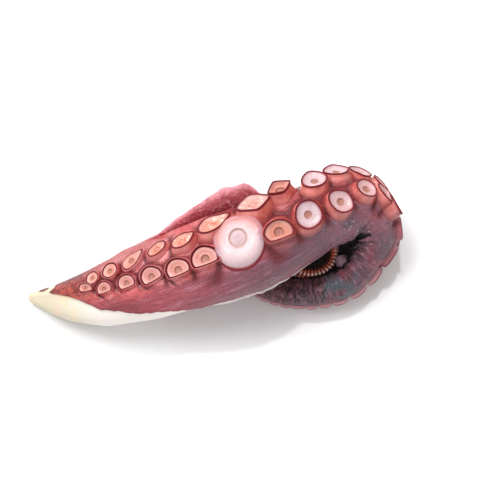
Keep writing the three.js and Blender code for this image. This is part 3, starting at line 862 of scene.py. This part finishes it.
# %% Grain of the skin
def skin_grain(p, way, streaks):
    """Noise of several sizes, some of it drawn out along the arm. Inside the coil, where streaks
    is 1, the fibres run outwards instead, across the arm."""
    place = p.place()
    swap = lambda first, second: first * (1.0 - streaks) + second * streaks
    return SimpleNamespace(
        dots=p.noise(place, 1500.0, 2.0, 0.6), specks=p.cells(place, 1150.0),
        grain=p.noise(place, 520.0, 4.0, 0.65), clouds=p.noise(place, 70.0, 4.0, 0.6, 0.4),
        rust=p.noise(place, 330.0, 4.0, 0.7), glint_cells=p.cells(place, 620.0),
        fibres=swap(p.combed(way, (16.0, 16.0, 5.0), 4.0, 0.62, 0.3),
                    p.combed(way, (1.7, 1.7, 62.0), 3.0, 0.6, 0.4)),
        streaky=swap(p.combed(way, (9.0, 9.0, 7.0), 4.0, 0.7, 0.5), p.noise(place, 240.0, 4.0, 0.7, 0.5)),
        hairs=p.combed(way, (34.0, 34.0, 8.0), 3.0, 0.6, 0.2),
        wrinkle_lines=p.combed(way, (2.0, 2.0, 105.0), 3.0, 0.6, 0.9))

# %% Colours of the side and of the sucker side
def side_and_salmon(p, s, clouds):
    """The two main colours. Both change with s, the distance along the arm in units of 100 mm."""
    side = p.layers(
        p.mix(s.step(0.6, 1.35), tone(160, 72, 82), tone(112, 74, 88)),
        ((s + clouds * 0.4).step(1.85, 2.15), (102, 64, 76)),
        (s.step(1.35, 1.6) * s.step(1.9, 1.75) * 0.7, (146, 92, 106)),
        (s.step(0.75, 0.35) * 0.8, (118, 44, 52)),
        (clouds.step(0.50, 0.70) * s.step(0.9, 1.5) * 0.7, (84, 84, 96)),
        (clouds.step(0.48, 0.30) * 0.7, (150, 60, 74)),
        (s.step(2.3, 2.7), (118, 64, 72)))
    salmon = p.layers(
        p.mix(clouds.step(0.40, 0.62), tone(206, 92, 90), tone(228, 138, 138)),
        (s.step(0.42, 0.26), (134, 44, 38)), (s.step(1.7, 2.1), (158, 96, 102)),
        (s.step(1.0, 1.2) * s.step(1.75, 1.6) * 0.65, (136, 38, 38)))
    return side, salmon

# %% Skin colours shared by the arm and the feet of the suckers
def skin_colours(p, pink, streaks, hollow_shade):
    """Colour of the skin, the height of its relief, its grain, and s."""
    way = p.mask("way", "Vector")
    round_way, s = p.part(way, 1), p.part(way, 2)
    g = skin_grain(p, way, streaks)
    glints = g.glint_cells.step(0.24, 0.12) * g.clouds.step(0.50, 0.58) * s.step(1.42, 1.5) * s.step(1.86, 1.78)
    teal = g.clouds.step(0.42, 0.56) * s.step(2.10, 2.16) * s.step(2.32, 2.22)
    rusty = p.mix(g.grain.step(0.40, 0.60), tone(110, 40, 24), tone(176, 84, 56))
    colour = p.layers(
        p.mix(pink, *side_and_salmon(p, s, g.clouds)),
        # lilac streaks along the arm are painted highlights
        (g.streaky.step(0.52, 0.68) * 0.42, (196, 132, 152)),
        (g.streaky.step(0.46, 0.32) * 0.45, (96, 30, 44)),
        # small wet glints near the hard bend, and rust near the cut
        (glints * 0.7, (248, 232, 238)),
        (s.step(0.40, 0.26) * g.rust.step(0.45, 0.60) * 0.8, (182, 80, 62)),
        (s.step(0.42, 0.26) * g.rust.step(0.50, 0.38) * 0.8, (104, 26, 26)),
        # thin dark lines, painted shade in fine wrinkles, run out from the hollow of the coil, thickest at
        # its lower left; the next layer adds pale ones
        (g.wrinkle_lines.step(0.51, 0.58) * (streaks * (0.35 + 0.6 * s.step(2.08, 2.26))), (34, 18, 26)),
        (g.wrinkle_lines.step(0.44, 0.36) * streaks * 0.35, (176, 128, 146)),
        (teal * streaks * 0.6, (64, 92, 98)))
    # the curled tip is rusty outside; inside it, as in the hollow of the coil, black is painted as shade
    colour = p.layers(p.mix(s.step(2.95, 3.05), colour, rusty), (hollow_shade * 0.97, (6, 4, 5)))
    # painted shade on the far side of the arm, strongest towards the cut end
    far_side_shade = round_way.step(-0.30, -0.72) * s.step(1.5, 1.2)
    for factor in (1.0 - far_side_shade * (0.08 + 0.32 * s.step(0.95, 0.60)),
                   0.70 + 0.36 * g.fibres + 0.30 * g.grain, 0.76 + 0.46 * g.dots.step(0.30, 0.72),
                   1.0 - 0.20 * g.specks.step(0.42, 0.12) * (1.0 - pink * 0.6)):
        colour = p.shade(colour, factor)
    relief = g.dots * 0.3 + g.specks * 0.4 + g.grain * 0.7 + g.hairs * 0.8 + g.fibres * 0.9
    return colour, relief, g.grain, s

# %% Skin paint
# how far light goes under the wet surface, in metres, and how strongly that surface shines
moist = dict(Subsurface_Scale=0.003, Specular_IOR_Level=0.35)

def skin_paint():
    p = Paint("octopus_skin")
    flesh, crease, pink, cut_rim = p.masks("flesh", "crease", "pink", "cut_rim")
    streaks, hollow_shade = p.masks("streaks", "hollow_shade")
    colour, height, grain, s = skin_colours(p, pink, streaks, hollow_shade)
    # flesh, yellower at the end and rosy at the rim of the skin
    stains = p.noise(p.place(), 110.0, 3.0).step(0.50, 0.75) * s.step(0.5, 0.1)
    ivory = p.layers(p.mix(s.step(0.45, 0.10), tone(238, 230, 224), tone(200, 189, 164)),
                     (stains * 0.8, (232, 204, 156)), (cut_rim * 0.30, (236, 180, 172)))
    # painted shade: the creases are darkened to deep red
    colour = p.layers(colour, ((crease * 1.1).least(0.95), (96, 16, 26)),
                      (cut_rim * (1.0 - flesh) * 0.55, (130, 40, 50)))
    return p.finish(Base_Color=p.mix(flesh, colour, ivory),
                    Roughness=0.26 + 0.28 * grain + 0.14 * flesh + 0.4 * hollow_shade,
                    Normal=p.bump(height * (1.0 - flesh * 0.85), 0.00065, 0.9),
                    Coat_Weight=0.18 * (1.0 - hollow_shade), Coat_Roughness=0.10,
                    Subsurface_Weight=0.07, Subsurface_Radius=(1.0, 0.35, 0.25), **moist)

arm_skin.data.materials.append(skin_paint())
print("painted:", arm_skin.name)

# %% [markdown]
# ## Paint of the suckers
# The foot of a sucker has the skin's own colours, so that it grows out of it. The skin folds under the rim,
# and a thin dark line of painted shade marks the fold. The dish is rosy, orange or pale and pearly, with a
# tan ring round its pit and some painted highlights. Towards the coil the suckers are duller and browner.

# %% Foot and stalk
def foot_and_stalk(p, at, foot):
    """The skin's own colour with painted shade in its creases and in a fold round the foot, and a painted
    highlight on a pale collar, then the stalk.
    """
    radial, s = at.radial, at.s
    fold = radial.step(1.44, 1.20) * radial.step(1.02, 1.16) * (0.3 + 0.5 * s.step(0.9, 1.2))
    collar_highlight = radial.step(1.18, 1.10) * radial.step(1.02, 1.06) * s.step(1.1, 0.9)
    # painted shade in the creases and in the fold round the foot, and a painted highlight on the collar
    foot = p.layers(foot, ((p.mask("crease") * 0.95).least(0.92), (84, 12, 22)),
                    (fold, (100, 20, 28)), (collar_highlight * 0.5, (216, 134, 140)))
    # the stalk: painted shade just under the rim, orange towards one side, and a painted highlight towards
    # the other
    stalk = p.layers(
        p.mix(at.clouds.step(0.35, 0.65), tone(180, 68, 62), tone(222, 132, 122)),
        (radial.step(1.02, 1.22) * 0.55, (146, 46, 48)), (at.ahead.step(0.0, 0.9) * 0.45, (180, 72, 54)),
        ((at.across - at.ahead).step(0.2, 1.2) * 0.2, (238, 168, 160)))
    dull = p.mix(s.step(1.95, 2.1), tone(158, 92, 100), tone(200, 142, 148))
    stalk = p.mix(s.step(1.7, 1.9), stalk, dull)
    return p.mix(radial.step(1.40, 1.06) * s.step(0.5, 1.1) * 0.85, foot, stalk)

# %% Dish
def dish_colour(p, at):
    """Rosy, orange or pearly, with painted highlights, a pit and a tan ring round it. The largest has its
    own painted light and shade.
    """
    radial, s = at.radial, at.s
    orange, pale, big = p.masks("orange", "pale", "big")
    small, ripest = 1.0 - big, orange.step(0.78, 0.88)
    rosy = p.mix(radial.step(0.50, 0.95), tone(184, 106, 96), tone(206, 142, 136))
    ripe = p.layers(p.mix(radial.step(0.45, 0.98), tone(212, 124, 88), tone(228, 170, 146)),
                    (at.clouds.step(0.42, 0.62) * 0.7, (196, 92, 58)))
    pearl = p.mix(radial.step(0.62, 1.0), tone(196, 170, 174), tone(170, 128, 146))
    # painted highlights: pale spots in the ripest orange dishes, and a lit side in the pale ones
    highlight_spots = p.noise(at.place, 420.0, 2.0).step(0.54, 0.66) * ripest
    lit = (at.ahead - at.across).step(0.0, 0.9) * radial.step(0.35, 0.6)
    dish = p.layers(p.mix(orange, rosy, ripe), (highlight_spots * 0.6, (246, 226, 206)))
    dish = p.layers(p.mix(pale, dish, pearl), (lit * pale * small * 0.15, (236, 226, 230)),
                    (at.spokes.step(0.45, 0.70) * (0.22 * small), (180, 110, 110)))
    # pit and ring
    deep = radial + pale * (0.10 * small)
    pit, ring = deep.step(0.36, 0.30), deep.step(0.42, 0.36) * deep.step(0.26, 0.32)
    whole = 1.0 - 0.75 * ripest
    dish = p.mix(whole * pit, dish, p.mix(big, tone(166, 110, 98), tone(180, 150, 156)))
    dish = p.mix(whole * ring * 0.75, dish, p.mix(big, tone(146, 88, 70), tone(168, 126, 110)))
    # a painted highlight as a pale rim inside the small ones; on the largest, painted shade on one side and
    # at its edge and painted light on the other; and duller on the coil
    rim_highlight = radial.step(0.74, 0.86) * radial.step(0.95, 0.90) * small
    return p.layers(
        dish, (rim_highlight * 0.38, (238, 188, 180)),
        (big * at.across.step(0.5, -0.4) * radial.step(0.34, 0.75) * 0.9, (190, 124, 120)),
        (big * radial.step(0.84, 1.02) * 0.55, (180, 146, 158)),
        (big * at.across.step(0.1, 0.6) * radial.step(0.40, 0.70) * 0.5, (224, 202, 200)),
        (s.step(1.72, 2.0) * 0.6, (140, 82, 86)))

# %% Sucker paint
def sucker_paint():
    p = Paint("octopus_sucker")
    rim_shade, dish_at, big, pink = p.masks("rim_shade", "dish", "big", "pink")
    foot, height, grain, s = skin_colours(p, pink, 0.0, 0.0)
    place, rays, radial = p.place(), p.mask("rays", "Vector"), p.mask("radial")
    # ahead and across say which way round its axis a point lies
    at = SimpleNamespace(place=place, radial=radial, s=s, ahead=p.part(rays, 0), across=p.part(rays, 1),
                         clouds=p.noise(place, 160.0, 3.0, 0.5),
                         spokes=p.combed(rays, (6.0, 6.0, 0.8), 2.0, 0.5))
    colour = p.mix(dish_at, foot_and_stalk(p, at, foot), dish_colour(p, at))
    # painted shade: the fold under the rim is a thin dark line, weaker on the largest
    rim_shade_tone = p.mix(big * 0.6, tone(104, 6, 24), tone(132, 46, 58))
    colour = p.mix((rim_shade * 1.1).least(0.97), colour, rim_shade_tone)
    # the teeth of the curled tip go from rust at the foot to salmon at the end
    tooth = p.layers(p.mix(radial.step(1.20, 1.07), tone(90, 26, 12), tone(230, 118, 82)),
                     (radial.step(1.065, 0.98), (255, 220, 208)))
    colour = p.shade(p.mix(s.step(2.9, 3.05), colour, tooth), 0.86 + 0.26 * grain)
    relief = height * (1.0 - dish_at) * 0.7 + grain * 0.5 + at.spokes * (0.6 * dish_at)
    return p.finish(Base_Color=colour, Roughness=0.22 + 0.22 * grain + rim_shade * 0.5,
                    Normal=p.bump(relief, 0.00035, 0.8),
                    Coat_Weight=0.18 * (1.0 - rim_shade), Coat_Roughness=0.08,
                    Subsurface_Weight=0.08, Subsurface_Radius=(1.0, 0.40, 0.30), **moist)

sucker_material = sucker_paint()
for piece in (large_suckers, middling_suckers, tiny_suckers):
    piece.data.materials.append(sucker_material)
    print("painted:", piece.name)

# %% [markdown]
# ## Paint of the web and of the table
# The web is thin dark red skin, painted darker at its root as shade, with a pale edge where it was cut that
# is partly a painted highlight. The table is plain and white.

# %% Web paint
def web_paint(name, low, high, edge, edge_from):
    """Skin that goes from a low tone, painted shade at the root of a strip and under the knob, to a high
    tone, with a pale free edge that is partly a painted highlight and pale wrinkles that are painted
    glints.
    """
    p = Paint(name)
    place, climb = p.place(), p.mask("climb")
    grain, clouds = p.noise(place, 700.0, 4.0, 0.6), p.noise(place, 140.0, 3.0, 0.6)
    wrinkles_and_glints = p.combed(place, (420.0, 420.0, 105.0), 3.0, 0.6, 0.4)
    colour = p.layers(p.mix(climb.step(0.1, 0.7), tone(*low), tone(*high)),
                      (climb.step(edge_from, 1.0), edge), (wrinkles_and_glints.step(0.55, 0.70) * 0.6, edge))
    return p.finish(Base_Color=p.shade(colour, 0.56 + 0.50 * grain + 0.34 * clouds),
                    Roughness=0.30 + 0.2 * grain,
                    Normal=p.bump(grain + clouds + wrinkles_and_glints * 1.5, 0.0009, 0.9),
                    Coat_Weight=0.4, Coat_Roughness=0.12, Subsurface_Weight=0.12,
                    Subsurface_Radius=(1.0, 0.35, 0.25), Subsurface_Scale=0.002)

# low tones are painted shade at the root of each strip and under the knob; the edge tones are partly
# painted highlight
for piece, name, tones, edge_from in (
        (web_frill, "web_skin", ((112, 20, 32), (160, 56, 66), (220, 144, 154)), 0.62),
        (web_line, "cut_web", ((150, 84, 92), (222, 196, 198), (246, 236, 234)), 0.55),
        (skin_knob, "knob_skin", ((70, 44, 56), (140, 104, 122), (170, 134, 150)), 0.80)):
    piece.data.materials.append(web_paint(name, *tones, edge_from))
    print("painted:", piece.name)

# %% Table paint
table_white = Paint("white_table").finish(Base_Color=(0.87, 0.872, 0.88, 1.0), Roughness=0.75)
table_top.data.materials.append(table_white)
print("painted:", table_top.name)

# %% [markdown]
# ## Riding on the imported arm
# Every piece rides on the imported arm's body and stands for the imported solid, which is then hidden.

# %% Ride and replace
for piece in (arm_skin, large_suckers, middling_suckers, tiny_suckers, web_frill, web_line, skin_knob):
    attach(piece, "root")
    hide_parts("octopus_arm")
